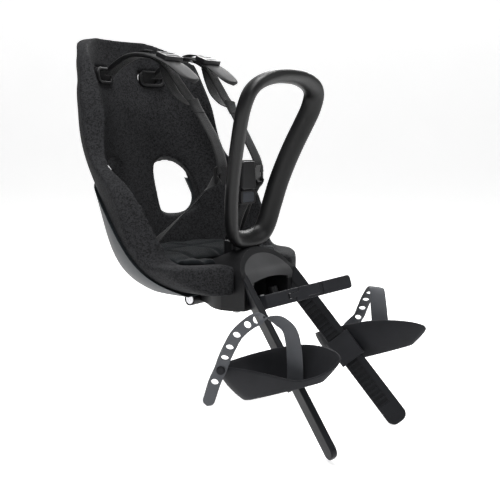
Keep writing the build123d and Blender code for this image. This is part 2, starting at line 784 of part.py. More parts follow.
def strap_plane():
    """Upright plane of the left foot strap: local X outward and rearward, local Y up."""
    turn = radians(strap_heading)
    return Plane(origin=(*strap_root, 0), x_dir=(cos(turn), sin(turn), 0), z_dir=(sin(turn), -cos(turn), 0))


def peg_plane():
    """Place of the left strap peg, looking outward along it."""
    plane = strap_plane()
    return Plane(origin=plane.from_local_coords(Vector(*peg_place)), x_dir=plane.x_dir, z_dir=plane.z_dir)


def twisted(tangent, twist):
    """Direction across the left foot strap, turned about its run from square to its plane towards the plane."""
    across = strap_plane().z_dir
    turn = radians(twist)
    return across * cos(turn) + across.cross(tangent) * sin(turn)


def make_foot_strap(cup):
    """Left perforated rubber strap, which twists over the instep and hooks on its peg."""
    places = [strap_plane().from_local_coords(Vector(out, up)) for out, up, width, twist in strap_stations]
    path = Spline(*places)
    sections = []
    for place, (out, up, width, twist) in zip(places, strap_stations):
        tangent = path.tangent_at(place)
        seat = Plane(origin=place, x_dir=twisted(tangent, twist), z_dir=tangent)
        sections.append(seat * Rectangle(width, foot_strap_thick))
    band = loft(sections)
    for share, twist in strap_holes:
        across = twisted(path % share, twist)
        seat = Plane(origin=path @ share, x_dir=path % share, z_dir=(path % share).cross(across))
        band -= seat * extrude(SlotOverall(*strap_hole_size), 10, both=True)
    band -= peg_plane() * Cylinder(peg_stem_radius + running_gap, 30)
    return largest(band - cup)


def make_strap_peg():
    """Left mushroom peg on the cup's outer wall."""
    stem = Pos(0, 0, -22) * Cylinder(peg_stem_radius, 26, align=(Align.CENTER, Align.CENTER, Align.MIN))
    head = Pos(0, 0, 3) * Cylinder(peg_head_radius, 4, align=(Align.CENTER, Align.CENTER, Align.MIN))
    head = fillet(head.edges().sort_by(Axis.Z)[-1], 2.5)
    return peg_plane() * (stem + head) - cup_plane() * cup_form(0.0, 0.0)


def largest(part):
    """The biggest solid of a part."""
    return part.solids().sort_by(SortBy.VOLUME)[-1]


def make_shoulder_strap(tongue):
    """Left webbing from its slot over the shoulder down to the tongue."""
    band = ribbon(side_plane(shoulder_side), shoulder_points, webbing_width, webbing_thick)
    return largest(band - tongue)


def make_shoulder_pad(strap):
    """Left leaf-shaped pad on the shoulder strap."""
    band = ribbon(side_plane(shoulder_side), pad_line, 60, shoulder_pad_thick)
    side = Spline(*pad_leaf, (pad_tip, 0), tangents=((1, 0.05), (0, -1)))
    leaf = make_face(side + Line((pad_tip, 0), (pad_leaf[0][0], 0)) + Line((pad_leaf[0][0], 0), pad_leaf[0]))
    leaf += mirror(leaf, about=Plane.XZ)
    return largest((band & extrude(Pos(0, shoulder_side, 200) * leaf, 300)) - strap)


def make_strap_adjuster(pad):
    """Left ladder lock on the shoulder pad."""
    length, width, thick = adjuster_size
    frame = fillet(Box(length, width, thick).edges().filter_by(Axis.Z), 4)
    window = Box(5, width - 12, 40)
    frame -= Pos(-6, 0, 0) * window
    frame -= Pos(6, 0, 0) * window
    place = Pos(adjuster_place[0], shoulder_side, adjuster_place[1])
    lift = shoulder_pad_thick / 2 + thick / 2
    return place * Rot(0, adjuster_slope, 0) * Pos(0, 0, lift) * frame - pad


def tongue_plane():
    """Plane of the left tongue: local X from the buckle outward, local Y up."""
    start = Vector(buckle_place[0], buckle_size[1] / 2 - 2, tongue_height)
    ahead = Vector(tongue_end[0], tongue_end[1], tongue_height) - start
    return Plane(origin=start, x_dir=ahead, z_dir=ahead.cross(Vector(0, 0, 1)))


def make_buckle_tongue(buckle):
    """Left plate between the buckle and the two straps."""
    outline = Polygon((0, -9), (0, 9), (14, 9), (22, 14), (46, 14), (46, -14), (22, -14), (14, -9), align=None)
    outline = fillet(outline.vertices().group_by(Axis.X)[-1], 4)
    outline -= Pos(38, 0) * RectangleRounded(5, 22, 2)
    return extrude(tongue_plane() * outline, tongue_thick / 2, both=True) - buckle


def make_lap_strap(tongue, seat_pad):
    """Left webbing from the tongue down to the seat's side."""
    top = Vector(*lap_top)
    ahead = Vector(*lap_foot) - top
    band = Box(ahead.length, webbing_width, webbing_thick, align=(Align.MIN, Align.CENTER, Align.CENTER))
    facing = Vector(0.3, -0.9, -0.1)
    plane = Plane(origin=top, x_dir=ahead, z_dir=facing - ahead * (facing.dot(ahead) / ahead.dot(ahead)))
    return largest(plane * band - tongue - seat_pad)


def button_room(gap):
    """Release button of the buckle, or its pocket with room to press it."""
    depth, width, height = buckle_button_size
    front = buckle_place[0] - buckle_size[0] / 2 + buckle_plate + buckle_frame_rise
    low = buckle_place[1] - buckle_size[2] / 2 + buckle_button_low
    travel = (buckle_button_travel + 1) * (gap > 0)
    block = Box(depth + travel, width + 2 * gap, height + 2 * gap, align=(Align.MAX, Align.CENTER, Align.CENTER))
    return Pos(front, 0, low + height / 2) * fillet(block.edges().filter_by(Axis.X), 3)


def make_buckle_body():
    """Buckle in the middle of the harness: a plate with a raised panel and a frame round the button."""
    depth, width, height = buckle_size
    rear = buckle_place[0] - depth / 2
    low = buckle_place[1] - height / 2
    plate = Pos(rear + buckle_plate / 2, 0, buckle_place[1]) * Box(buckle_plate, width, height)
    plate = fillet(plate.edges().filter_by(Axis.X), 8)
    face = Plane(origin=(rear + buckle_plate, 0, 0), x_dir=(0, 1, 0), z_dir=(1, 0, 0))
    top_width, low_width, panel_height = buckle_panel
    high = low + height - buckle_margin
    panel_low = high - panel_height
    corners = ((top_width / 2, high), (-top_width / 2, high), (-low_width / 2, panel_low), (low_width / 2, panel_low))
    outline = fillet(Polygon(*corners, align=None).vertices(), 5)
    panel = extrude(face * outline, depth - buckle_plate)
    panel = fillet(panel.faces().sort_by(Axis.X)[-1].outer_wire().edges(), 2.5)
    frame_height = panel_low - low - 2 * buckle_margin
    frame = RectangleRounded(low_width, frame_height, 5)
    frame = extrude(face * (Pos(0, low + buckle_margin + frame_height / 2) * frame), buckle_frame_rise)
    return plate + panel + frame - button_room(running_gap)


def make_crotch_strap(buckle, base, loop_base):
    """Webbing from the buckle down to the console behind the loop."""
    band = ribbon(side_plane(0), crotch_points, webbing_width, crotch_thick)
    return largest(band - buckle - base - loop_base)


def mirrored(part):
    """The right piece that matches a left one."""
    return mirror(part, about=Plane.XZ)


nodes = {}
nodes["foam_liner"] = make_foam_liner()
nodes["outer_shell"] = make_outer_shell()
cover = make_console_cover()
base = make_base_frame(cover)
loop = make_grab_loop()
nodes["base_frame"] = base
nodes["console_cover"] = cover
nodes["grab_loop"] = loop
loop_base = make_loop_base(base, loop)
seat_pad = make_seat_pad()
nodes["loop_base"] = loop_base
nodes["seat_pad"] = seat_pad
nodes["base_screws"] = both(Part() + [screw(place) for place in screw_places])
nodes["lock_housing"] = make_lock_housing(base)
nodes["lock_plug"] = make_lock_plug()
nodes["clamp_jaw"] = make_clamp_jaw(base)
nodes["clamp_bolt"] = make_clamp_bolt()
nodes["clamp_gate"] = make_clamp_gate()
nodes["gate_pin"] = make_gate_pin()
nodes["latch_lever"] = make_latch_lever()
nodes["lever_pin"] = make_lever_pin()
nodes["jaw_liner"] = make_liner(False)
nodes["gate_liner"] = make_liner(True)
buckle = make_buckle_body()
nodes["buckle_body"] = buckle
nodes["buckle_button"] = button_room(0.0)
nodes["crotch_strap"] = make_crotch_strap(buckle, base, loop_base)

left_cup = make_foot_cup()
left_tongue = make_buckle_tongue(buckle)
left_webbing = make_shoulder_strap(left_tongue)
left_pad = make_shoulder_pad(left_webbing)
pairs = {
    "slot_bezel": make_slot_bezel(),
    "foot_rail": make_foot_rail(),
    "rail_cap": make_rail_cap(),
    "foot_cup": left_cup,
    "rail_clip": make_rail_clip(),
    "clip_button": make_clip_button(),
    "foot_strap": make_foot_strap(left_cup),
    "strap_peg": make_strap_peg(),
    "shoulder_strap": left_webbing,
    "shoulder_pad": left_pad,
    "strap_adjuster": make_strap_adjuster(left_pad),
    "buckle_tongue": left_tongue,
    "lap_strap": make_lap_strap(left_tongue, seat_pad),
}
for name, part in pairs.items():
    nodes[name + "_left"] = part
    nodes[name + "_right"] = mirrored(part)

os.makedirs("parts", exist_ok=True)
for name, part in nodes.items():
    export_step(part, f"parts/{name}.step")
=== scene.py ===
import bpy
import bmesh
import json
import math
from mathutils import Matrix, Vector, noise


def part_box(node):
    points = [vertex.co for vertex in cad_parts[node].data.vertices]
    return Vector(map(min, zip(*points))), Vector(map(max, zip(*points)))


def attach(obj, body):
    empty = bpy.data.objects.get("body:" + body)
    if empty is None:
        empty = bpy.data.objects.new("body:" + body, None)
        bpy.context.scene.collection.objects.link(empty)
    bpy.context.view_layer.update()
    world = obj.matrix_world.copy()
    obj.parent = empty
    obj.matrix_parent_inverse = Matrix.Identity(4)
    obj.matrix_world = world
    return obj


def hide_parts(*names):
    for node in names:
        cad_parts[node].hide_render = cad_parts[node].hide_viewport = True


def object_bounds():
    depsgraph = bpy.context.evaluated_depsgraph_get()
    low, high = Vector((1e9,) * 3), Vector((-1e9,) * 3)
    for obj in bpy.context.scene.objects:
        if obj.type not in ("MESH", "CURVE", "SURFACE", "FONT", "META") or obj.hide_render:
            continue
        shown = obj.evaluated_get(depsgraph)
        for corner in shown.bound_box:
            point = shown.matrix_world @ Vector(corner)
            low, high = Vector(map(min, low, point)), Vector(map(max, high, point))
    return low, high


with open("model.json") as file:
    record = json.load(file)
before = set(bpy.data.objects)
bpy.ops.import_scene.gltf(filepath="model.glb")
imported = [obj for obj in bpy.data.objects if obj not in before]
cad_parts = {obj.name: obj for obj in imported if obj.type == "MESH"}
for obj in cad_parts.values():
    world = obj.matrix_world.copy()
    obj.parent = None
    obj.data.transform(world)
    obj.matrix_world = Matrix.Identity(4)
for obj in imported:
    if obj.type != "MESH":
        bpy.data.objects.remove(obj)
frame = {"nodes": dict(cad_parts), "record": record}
cad_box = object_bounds()
nodes = frame["nodes"]
scene = bpy.context.scene


# Materials

def new_material(name, colour, rough, specular=0.5):
    material = bpy.data.materials.new(name)
    material.use_nodes = True
    tree = material.node_tree
    shader = tree.nodes["Principled BSDF"]
    shader.inputs["Base Color"].default_value = (*colour, 1)
    shader.inputs["Roughness"].default_value = rough
    shader.inputs["Specular IOR Level"].default_value = specular
    return material, tree, shader


def add(tree, kind, **inputs):
    """A node of one kind, with its number inputs set by name; spaces are written as underscores."""
    node = tree.nodes.new(kind)
    for key, value in inputs.items():
        node.inputs[key.replace("_", " ")].default_value = value
    return node


def place(tree, uv=False):
    coordinates = tree.nodes.new("ShaderNodeTexCoord")
    return coordinates.outputs["UV" if uv else "Object"]


def shaded(colour, share):
    return [c * share for c in colour]


def two_tone(tree, shader, source, dark, light, low=0.3, high=0.7):
    """The base colour runs from dark to light as the source goes from low to high."""
    ramp = tree.nodes.new("ShaderNodeValToRGB")
    ramp.color_ramp.elements[0].position = low
    ramp.color_ramp.elements[0].color = (*dark, 1)
    ramp.color_ramp.elements[1].position = high
    ramp.color_ramp.elements[1].color = (*light, 1)
    tree.links.new(source, ramp.inputs["Fac"])
    tree.links.new(ramp.outputs["Color"], shader.inputs["Base Color"])


def bump(tree, shader, source, strength, distance, below=None):
    node = tree.nodes.new("ShaderNodeBump")
    node.inputs["Strength"].default_value = strength
    node.inputs["Distance"].default_value = distance
    tree.links.new(source, node.inputs["Height"])
    if below is not None:
        tree.links.new(below.outputs["Normal"], node.inputs["Normal"])
    tree.links.new(node.outputs["Normal"], shader.inputs["Normal"])
    return node


def rough_range(tree, shader, source, low, high):
    span = add(tree, "ShaderNodeMapRange", To_Min=low, To_Max=high)
    tree.links.new(source, span.inputs["Value"])
    tree.links.new(span.outputs["Result"], shader.inputs["Roughness"])


def moulded(name, colour, rough, grain=900.0, depth=0.00012, spread=0.18, specular=0.28, edge=0.0009):
    """Spark-eroded plastic: fine grain, faint mottling, uneven gloss and edges that are slightly round."""
    material, tree, shader = new_material(name, colour, rough, specular)
    where = place(tree)
    fine = add(tree, "ShaderNodeTexNoise", Scale=grain, Detail=3.0, Roughness=0.6)
    broad = add(tree, "ShaderNodeTexNoise", Scale=22.0, Detail=4.0, Roughness=0.55)
    tree.links.new(where, fine.inputs["Vector"])
    tree.links.new(where, broad.inputs["Vector"])
    two_tone(tree, shader, broad.outputs["Fac"], shaded(colour, 1 - spread), shaded(colour, 1 + spread))
    rough_range(tree, shader, broad.outputs["Fac"], rough - 0.06, rough + 0.06)
    rounded = add(tree, "ShaderNodeBevel", Radius=edge)
    rounded.samples = 6
    bump(tree, shader, fine.outputs["Fac"], 0.35, depth, rounded)
    return material


def foam_beads(name, colour):
    """Expanded foam: small fused beads, each of its own shade, under a matt skin."""
    material, tree, shader = new_material(name, colour, 0.85, 0.12)
    where = place(tree)
    cells = add(tree, "ShaderNodeTexVoronoi", Scale=560.0)
    speck = add(tree, "ShaderNodeTexNoise", Scale=1500.0, Detail=2.0)
    tree.links.new(where, cells.inputs["Vector"])
    tree.links.new(where, speck.inputs["Vector"])
    grey = tree.nodes.new("ShaderNodeRGBToBW")
    tree.links.new(cells.outputs["Color"], grey.inputs["Color"])
    mixed = add(tree, "ShaderNodeMath")
    mixed.operation = "MULTIPLY_ADD"
    mixed.inputs[1].default_value = 0.55
    tree.links.new(speck.outputs["Fac"], mixed.inputs[0])
    tree.links.new(grey.outputs["Val"], mixed.inputs[2])
    two_tone(tree, shader, mixed.outputs["Value"], shaded(colour, 0.4), shaded(colour, 1.9), 0.35, 1.1)
    low = bump(tree, shader, cells.outputs["Distance"], 0.45, 0.0005)
    bump(tree, shader, speck.outputs["Fac"], 0.2, 0.0002, low)
    return material


def grained(name, colour, rough, cell=620.0, depth=0.0004):
    """Soft skin with a leather-like grain."""
    material, tree, shader = new_material(name, colour, rough, 0.33)
    where = place(tree)
    cells = add(tree, "ShaderNodeTexVoronoi", Scale=cell)
    cells.feature = "DISTANCE_TO_EDGE"
    cells.inputs["Randomness"].default_value = 0.9
    broad = add(tree, "ShaderNodeTexNoise", Scale=35.0, Detail=5.0)
    tree.links.new(where, cells.inputs["Vector"])
    tree.links.new(where, broad.inputs["Vector"])
    two_tone(tree, shader, broad.outputs["Fac"], shaded(colour, 0.8), shaded(colour, 1.25))
    rough_range(tree, shader, broad.outputs["Fac"], rough - 0.07, rough + 0.08)
    bump(tree, shader, cells.outputs["Distance"], 0.4, depth)
    return material


def woven(name, colour, along=0.0016, across=0.0016, sheen=0.12):
    """Webbing: ribs along the band and picks across it, from the band's own UV in metres, with painted shade
    in the hollows of the weave and painted highlights on its crests.
    """
    material, tree, shader = new_material(name, colour, 0.78, 0.2)
    shader.inputs["Sheen Weight"].default_value = sheen
    shader.inputs["Sheen Roughness"].default_value = 0.5
    where = place(tree, uv=True)
    split = tree.nodes.new("ShaderNodeSeparateXYZ")
    tree.links.new(where, split.inputs["Vector"])
    waves = []
    for axis, pitch in (("X", across), ("Y", along)):
        turn = add(tree, "ShaderNodeMath")
        turn.operation = "MULTIPLY"
        turn.inputs[1].default_value = 2 * math.pi / pitch
        tree.links.new(split.outputs[axis], turn.inputs[0])
        wave = add(tree, "ShaderNodeMath")
        wave.operation = "SINE"
        tree.links.new(turn.outputs["Value"], wave.inputs[0])
        waves.append(wave)
    product = add(tree, "ShaderNodeMath")
    product.operation = "MULTIPLY"
    tree.links.new(waves[0].outputs["Value"], product.inputs[0])
    tree.links.new(waves[1].outputs["Value"], product.inputs[1])
    shade = add(tree, "ShaderNodeMapRange", From_Min=-1.0, From_Max=1.0)
    tree.links.new(product.outputs["Value"], shade.inputs["Value"])
    # The base colour follows the weave's relief: painted shade in its hollows and a painted highlight on its
    # crests.
    two_tone(tree, shader, shade.outputs["Result"], shaded(colour, 0.6), shaded(colour, 1.4), 0.1, 0.9)
    bump(tree, shader, shade.outputs["Result"], 0.5, 0.0004)
    return material


def cloth(name, colour):
    """Close plain-weave fabric with a slight melange."""
    material, tree, shader = new_material(name, colour, 0.85, 0.1)
    shader.inputs["Sheen Weight"].default_value = 0.08
    shader.inputs["Sheen Roughness"].default_value = 0.45
    where = place(tree)
    melange = add(tree, "ShaderNodeTexNoise", Scale=700.0, Detail=4.0, Roughness=0.7)
    tree.links.new(where, melange.inputs["Vector"])
    two_tone(tree, shader, melange.outputs["Fac"], shaded(colour, 0.65), shaded(colour, 1.45), 0.35, 0.65)
    threads = []
    for direction in ("X", "Y"):
        wave = add(tree, "ShaderNodeTexWave", Scale=420.0, Distortion=0.6, Detail=1.0)
        wave.bands_direction = direction
        tree.links.new(where, wave.inputs["Vector"])
        threads.append(wave)
    both = add(tree, "ShaderNodeMath")
    both.operation = "MULTIPLY"
    tree.links.new(threads[0].outputs["Fac"], both.inputs[0])
    tree.links.new(threads[1].outputs["Fac"], both.inputs[1])
    bump(tree, shader, both.outputs["Value"], 0.4, 0.0003)
    return material


def metal(name, colour, rough):
    """Plated steel with fine turning marks."""
    material, tree, shader = new_material(name, colour, rough)
    shader.inputs["Metallic"].default_value = 1.0
    where = place(tree)
    marks = add(tree, "ShaderNodeTexNoise", Scale=400.0, Detail=5.0)
    tree.links.new(where, marks.inputs["Vector"])
    rough_range(tree, shader, marks.outputs["Fac"], rough - 0.05, rough + 0.1)
    bump(tree, shader, marks.outputs["Fac"], 0.15, 0.00008)
    return material


looks = {
    "foam": foam_beads("foam_look", (0.0125, 0.0127, 0.0137)),
    "shell": moulded("shell_look", (0.014, 0.0175, 0.021), 0.5),
    "base_plastic": moulded("base_look", (0.0072, 0.0074, 0.0082), 0.5, specular=0.22),
    "cover_grey": moulded("cover_look", (0.044, 0.0445, 0.046), 0.5),
    "grip": grained("grip_look", (0.0026, 0.0027, 0.0030), 0.42),
    "pad_fabric": cloth("pad_look", (0.0058, 0.0072, 0.0084)),
    "pad_shoulder": grained("shoulder_pad_look", (0.0068, 0.0069, 0.0076), 0.65, 900.0, 0.00025),
    "webbing": woven("webbing_look", (0.0068, 0.0070, 0.0077)),
    "fittings": moulded("fittings_look", (0.0065, 0.0065, 0.0072), 0.4),
    "button": moulded("button_look", (0.026, 0.029, 0.036), 0.4),
    "rail_plastic": moulded("rail_look", (0.0040, 0.0045, 0.0062), 0.5, specular=0.2),
    "cup_plastic": moulded("cup_look", (0.015, 0.0154, 0.0175), 0.55, specular=0.1),
    "strap_rubber": moulded("strap_look", (0.060, 0.063, 0.070), 0.62, 1400.0, 0.00008, 0.10, 0.3),
    "clamp_plastic": moulded("clamp_look", (0.0150, 0.0156, 0.0185), 0.42),
    "liner_rubber": moulded("liner_look", (0.010, 0.010, 0.010), 0.7),
    "steel": metal("steel_look", (0.42, 0.42, 0.43), 0.3),
    "black_bolt": moulded("bolt_look", (0.020, 0.021, 0.023), 0.4),
    "lock_face": metal("lock_look", (0.62, 0.62, 0.64), 0.25),
}
slot_of = {entry["node"]: entry["material_slot"] for entry in frame["record"]["subparts"]}
for name, node in nodes.items():
    node.data.materials.clear()
    node.data.materials.append(looks[slot_of[name]])


# Mesh helpers

def link(name, mesh):
    piece = bpy.data.objects.new(name, mesh)
    scene.collection.objects.link(piece)
    return piece


def baked(piece):
    """Applies the piece's modifiers to its mesh."""
    bpy.context.view_layer.update()
    graph = bpy.context.evaluated_depsgraph_get()
    mesh = bpy.data.meshes.new_from_object(piece.evaluated_get(graph))
    piece.modifiers.clear()
    piece.data = mesh


def smooth_shading(mesh):
    for polygon in mesh.polygons:
        polygon.use_smooth = True


def stand_in(node, name, body, voxel, passes, factor=0.5, extra=()):
    """A rounded copy of a CAD node: remeshed evenly and smoothed, so that its edges have a soft radius."""
    mesh = nodes[node].data.copy()
    if extra:
        form = bmesh.new()
        form.from_mesh(mesh)
        for addition in extra:
            form.from_mesh(addition.data)
            bpy.data.objects.remove(addition)
        form.to_mesh(mesh)
        form.free()
    piece = link(name, mesh)
    remesh = piece.modifiers.new("remesh", "REMESH")
    remesh.mode = "VOXEL"
    remesh.voxel_size = voxel
    relax = piece.modifiers.new("relax", "SMOOTH")
    relax.factor = factor
    relax.iterations = passes
    baked(piece)
    piece.data.materials.clear()
    piece.data.materials.append(looks[slot_of[node]])
    smooth_shading(piece.data)
    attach(piece, body)
    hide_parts(node)
    return piece


def curve_point(a, b, c, d, t):
    """A point of the Catmull-Rom curve between b and c."""
    return 0.5 * (2 * b + (c - a) * t + (2 * a - 5 * b + 4 * c - d) * t * t + (3 * b - a - 3 * c + d) * t ** 3)


def smooth_line(points, per_span):
    """Points of a Catmull-Rom curve through the given ones, with how far along the list each lies."""
    ends = [points[0] * 2 - points[1]] + list(points) + [points[-1] * 2 - points[-2]]
    line = []
    for i in range(len(points) - 1):
        a, b, c, d = ends[i:i + 4]
        for k in range(per_span):
            t = k / per_span
            line.append((i + t, curve_point(a, b, c, d, t)))
    line.append((len(points) - 1, points[-1].copy()))
    return line


def mm(x, y, z):
    """A point given in millimetres."""
    return Vector((x, y, z)) / 1000


def grid_mesh(name, rows, wrap_rows=False, caps=False):
    """A mesh over rows of points, each row a closed ring; the rows may close up, or the first be capped."""
    form = bmesh.new()
    made = [[form.verts.new(p) for p in row] for row in rows]
    count = len(rows[0])
    spans = len(rows) if wrap_rows else len(rows) - 1
    for i in range(spans):
        ahead = made[(i + 1) % len(rows)]
        for k in range(count):
            j = (k + 1) % count
            form.faces.new((made[i][k], made[i][j], ahead[j], ahead[k]))
    if caps:
        form.faces.new(list(reversed(made[0])))
    bmesh.ops.recalc_face_normals(form, faces=form.faces[:])
    mesh = bpy.data.meshes.new(name)
    form.to_mesh(mesh)
    form.free()
    smooth_shading(mesh)
    return link(name, mesh)


# Rounded mouldings. The foam's holes get their true outline, its walls draw in a little at mid height,
# and its lip is rounder.

# Height, rear end, half width and depth of the round back, inside and outside the foam, in millimetres
cavity_levels = ((58, -276, 122, 85), (112, -289, 142, 100), (184, -309, 152, 106), (250, -322, 150, 105),
                 (335, -338, 143, 100), (428, -351, 120, 84))
outer_levels = ((40, -286, 151, 166), (72, -301, 174, 191), (114, -314, 187, 206), (186, -338, 182, 180),
                (252, -355, 176, 124), (337, -368, 170, 119), (424, -381, 140, 98))


def wall_place(levels, y, z):
    """Forward place of the back wall at one distance from the middle and one height, in millimetres."""
    for low, high in zip(levels, levels[1:]):
        if z <= high[0]:
            break
    share = (z - low[0]) / (high[0] - low[0])
    rear, half, depth = [low[i] + (high[i] - low[i]) * share for i in (1, 2, 3)]
    return rear + depth - depth * math.sqrt(max(1 - (y / half) ** 2, 0))


# Distance from the middle and height round one hole in the back: in front, behind, and well inside the foam
hole_front = ((35, 200), (43, 215), (63, 224), (84, 216), (104, 188), (110, 150), (103, 126), (60, 114),
              (36, 121), (33, 158))
hole_back = ((48, 198), (58, 208), (80, 213), (100, 206), (112, 184), (114, 144), (106, 128), (70, 116),
             (50, 122), (46, 157))
hole_around = ((2, 205), (20, 238), (60, 250), (100, 240), (122, 200), (126, 150), (118, 112), (64, 96),
               (15, 104), (0, 158))
# How far the collar stays under the foam's front and back
front_under = 0.5
back_under = 0.8


def hole_collar(sign):
    """Rows of points of a ring that brings one hole in the back to its outline; each row is a closed ring."""
    rings = []
    for marks in (hole_front, hole_around, hole_back):
        closed = [Vector(m) for m in marks[-2:] + marks + marks[:3]]
        rings.append([spot for where, spot in smooth_line(closed, 6) if 2 <= where < len(marks) + 2])
    rows = []
    for inner, outer, rear in zip(*rings):
        middle = (inner + outer) / 2
        rear_middle = (rear + outer) / 2
        row = []
        for p in (inner, middle, outer):
            row.append(mm(wall_place(cavity_levels, p.x, p.y) - front_under, p.x * sign, p.y))
        for p in (outer, rear_middle, rear):
            row.append(mm(wall_place(outer_levels, p.x, p.y) + back_under, p.x * sign, p.y))
        rows.append(row)
    return rows


def table_at(table, where):
    """Values between the rows of a table whose first column is the place."""
    if where <= table[0][0]:
        return table[0][1:]
    for low, high in zip(table, table[1:]):
        if where <= high[0]:
            share = (where - low[0]) / (high[0] - low[0])
            share = share * share * (3 - 2 * share)
            return [a + (b - a) * share for a, b in zip(low[1:], high[1:])]
    return table[-1][1:]


collars = [grid_mesh("collar_" + str(sign), hole_collar(sign), wrap_rows=True) for sign in (1, -1)]
foam = stand_in("foam_liner", "foam_bucket", "seat", 0.003, 5, extra=collars)
# Height, and how far the foam moves there: outward at its half width, forward and up
foam_moves = ((150, 0, 0, 0), (205, 4, 0, 0), (300, -9, 0, 0), (345, -7, -3, 1), (385, -1, -8, 4.5),
              (424, 2, -9, 6))
foam_half_width = 0.17
lip_back = -0.165
lip_top = 0.085
lip_passes = 30
for vertex in foam.data.vertices:
    wide, ahead, up = table_at(foam_moves, vertex.co.z * 1000)
    vertex.co += Vector((ahead / 1000, vertex.co.y / foam_half_width * wide / 1000, up / 1000))
lip = bmesh.new()
lip.from_mesh(foam.data)
lip_vertices = [v for v in lip.verts if v.co.x > lip_back and v.co.z < lip_top]
for turn in range(lip_passes):
    bmesh.ops.smooth_vert(lip, verts=lip_vertices, factor=0.5,
                          use_axis_x=True, use_axis_y=True, use_axis_z=True)
lip.to_mesh(foam.data)
lip.free()
for side in ("left", "right"):
    stand_in("rail_clip_" + side, "clip_" + side, "foot_rest_" + side, 0.0009, 3)
stand_in("clamp_gate", "gate_moulding", "gate", 0.0008, 6)
stand_in("latch_lever", "lever_moulding", "lever", 0.0007, 5)
stand_in("loop_base", "loop_plinth", "seat", 0.0008, 5)


# Bands: webbing, pads and foot straps

def between(values, place):
    """A value between the listed ones, at a fractional place in the list."""
    i = min(int(place), len(values) - 2)
    share = place - i
    return values[i] * (1 - share) + values[i + 1] * share


def band(name, points, sides, widths, thick, per_span=10, columns=9, crown=0.0, round_end=False):
    """A flat band along a smooth line, with its side direction, width and thickness given at each point."""
    points = [Vector(p) for p in points]
    sides = [Vector(d) for d in sides]
    line = smooth_line(points, per_span)
    rows = []
    travelled = 0.0
    lengths = []
    for i, (where, spot) in enumerate(line):
        if i:
            travelled += (spot - line[i - 1][1]).length
        lengths.append(travelled)
    for i, (where, spot) in enumerate(line):
        ahead = line[min(i + 1, len(line) - 1)][1] - line[max(i - 1, 0)][1]
        ahead.normalize()
        across = between(sides, where)
        across = (across - ahead * across.dot(ahead)).normalized()
        up = ahead.cross(across).normalized()
        half = between(widths, where) / 2
        if round_end:
            left = travelled - lengths[i]
            if left < half:
                half = max(math.sqrt(max(half ** 2 - (half - left) ** 2, 0)), half * 0.12)
        tall = between(thick, where) / 2
        ring = []
        for k in range(columns):
            a = -1 + 2 * k / (columns - 1)
            edge = 1 - 0.75 * abs(a) ** 8
            ring.append((spot + across * half * a + up * tall * (edge + crown * (1 - a * a)), half * a))
        for k in range(columns):
            a = 1 - 2 * k / (columns - 1)
            edge = 1 - 0.75 * abs(a) ** 8
            ring.append((spot + across * half * a - up * tall * edge, half * a))
        rows.append((ring, lengths[i]))
    mesh = bpy.data.meshes.new(name)
    form = bmesh.new()
    uv = form.loops.layers.uv.new("band")
    made = [[form.verts.new(co) for co, _ in ring] for ring, _ in rows]
    count = 2 * columns
    for i in range(len(rows) - 1):
        for k in range(count):
            j = (k + 1) % count
            face = form.faces.new((made[i][k], made[i][j], made[i + 1][j], made[i + 1][k]))
            face.smooth = True
            marks = ((i, k), (i, j), (i + 1, j), (i + 1, k))
            for loop, (row, column) in zip(face.loops, marks):
                loop[uv].uv = (rows[row][0][column][1], rows[row][1])
    for row in (made[0], list(reversed(made[-1]))):
        cap = form.faces.new(list(reversed(row)))
        cap.smooth = False
    form.normal_update()
    form.to_mesh(mesh)
    form.free()
    return link(name, mesh)


def dress(piece, slot, body, *replaced):
    """Gives a piece its material and its body, and hides the CAD nodes that it stands for."""
    piece.data.materials.clear()
    piece.data.materials.append(looks[slot])
    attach(piece, body)
    if replaced:
        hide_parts(*replaced)


# Grab loop: an oval bar, canted outward, along a closed line that bows forward at its top

loop_half_line = ((-65, 0, 92), (-63.5, 30, 97.5), (-59.8, 44.5, 113), (-53.3, 54, 149), (-45.6, 60.5, 183),
                  (-35.5, 67.5, 216), (-23.8, 75, 248), (-11.1, 83, 279), (-0.4, 87.5, 304), (8.5, 84, 326),
                  (14, 68, 340), (17.5, 36, 349.5), (18.5, 0, 352))
loop_middle = mm(-25, 0, 225)
loop_front = Vector((0.956, 0, -0.292))
loop_cant = math.radians(35)
loop_half_wide = 0.0168
loop_half_thin = 0.0104
loop_sides = 32
loop_points = [mm(*p) for p in loop_half_line] + [mm(x, -y, z) for x, y, z in reversed(loop_half_line[1:-1])]
loop_points = loop_points[-2:] + loop_points + loop_points[:3]
loop_line = [spot for where, spot in smooth_line(loop_points, 8) if 2 <= where < len(loop_points) - 3]
loop_rows = []
for i, spot in enumerate(loop_line):
    ahead = (loop_line[(i + 1) % len(loop_line)] - loop_line[i - 1]).normalized()
    forward = (loop_front - ahead * loop_front.dot(ahead)).normalized()
    outward = ahead.cross(forward).normalized()
    if outward.dot(spot - loop_middle) < 0:
        outward = -outward
    wide = forward * math.cos(loop_cant) + outward * math.sin(loop_cant)
    thin = ahead.cross(wide).normalized()
    ring = []
    for k in range(loop_sides):
        turn = 2 * math.pi * k / loop_sides
        ring.append(spot + wide * loop_half_wide * math.cos(turn) + thin * loop_half_thin * math.sin(turn))
    loop_rows.append(ring)
loop_bar = grid_mesh("loop_bar", loop_rows, wrap_rows=True)
dress(loop_bar, "grip", "seat", "grab_loop")


# Foot cups: a boat that is high on the rail's side and dips on its outer side, with a round lip

def level(height, low, middle, high):
    """A size of the cup at one height in millimetres, from its sizes at 0, 16 and 64."""
    second = ((high - low) / 64 - (middle - low) / 16) / 48
    return low + ((middle - low) / 16 - 16 * second) * height + second * height ** 2


def listed(table, where):
    """A value between the places of a table."""
    for (a, low), (b, high) in zip(table, table[1:]):
        if where <= b:
            share = (where - a) / (b - a)
            return low + (high - low) * share
    return table[-1][1]


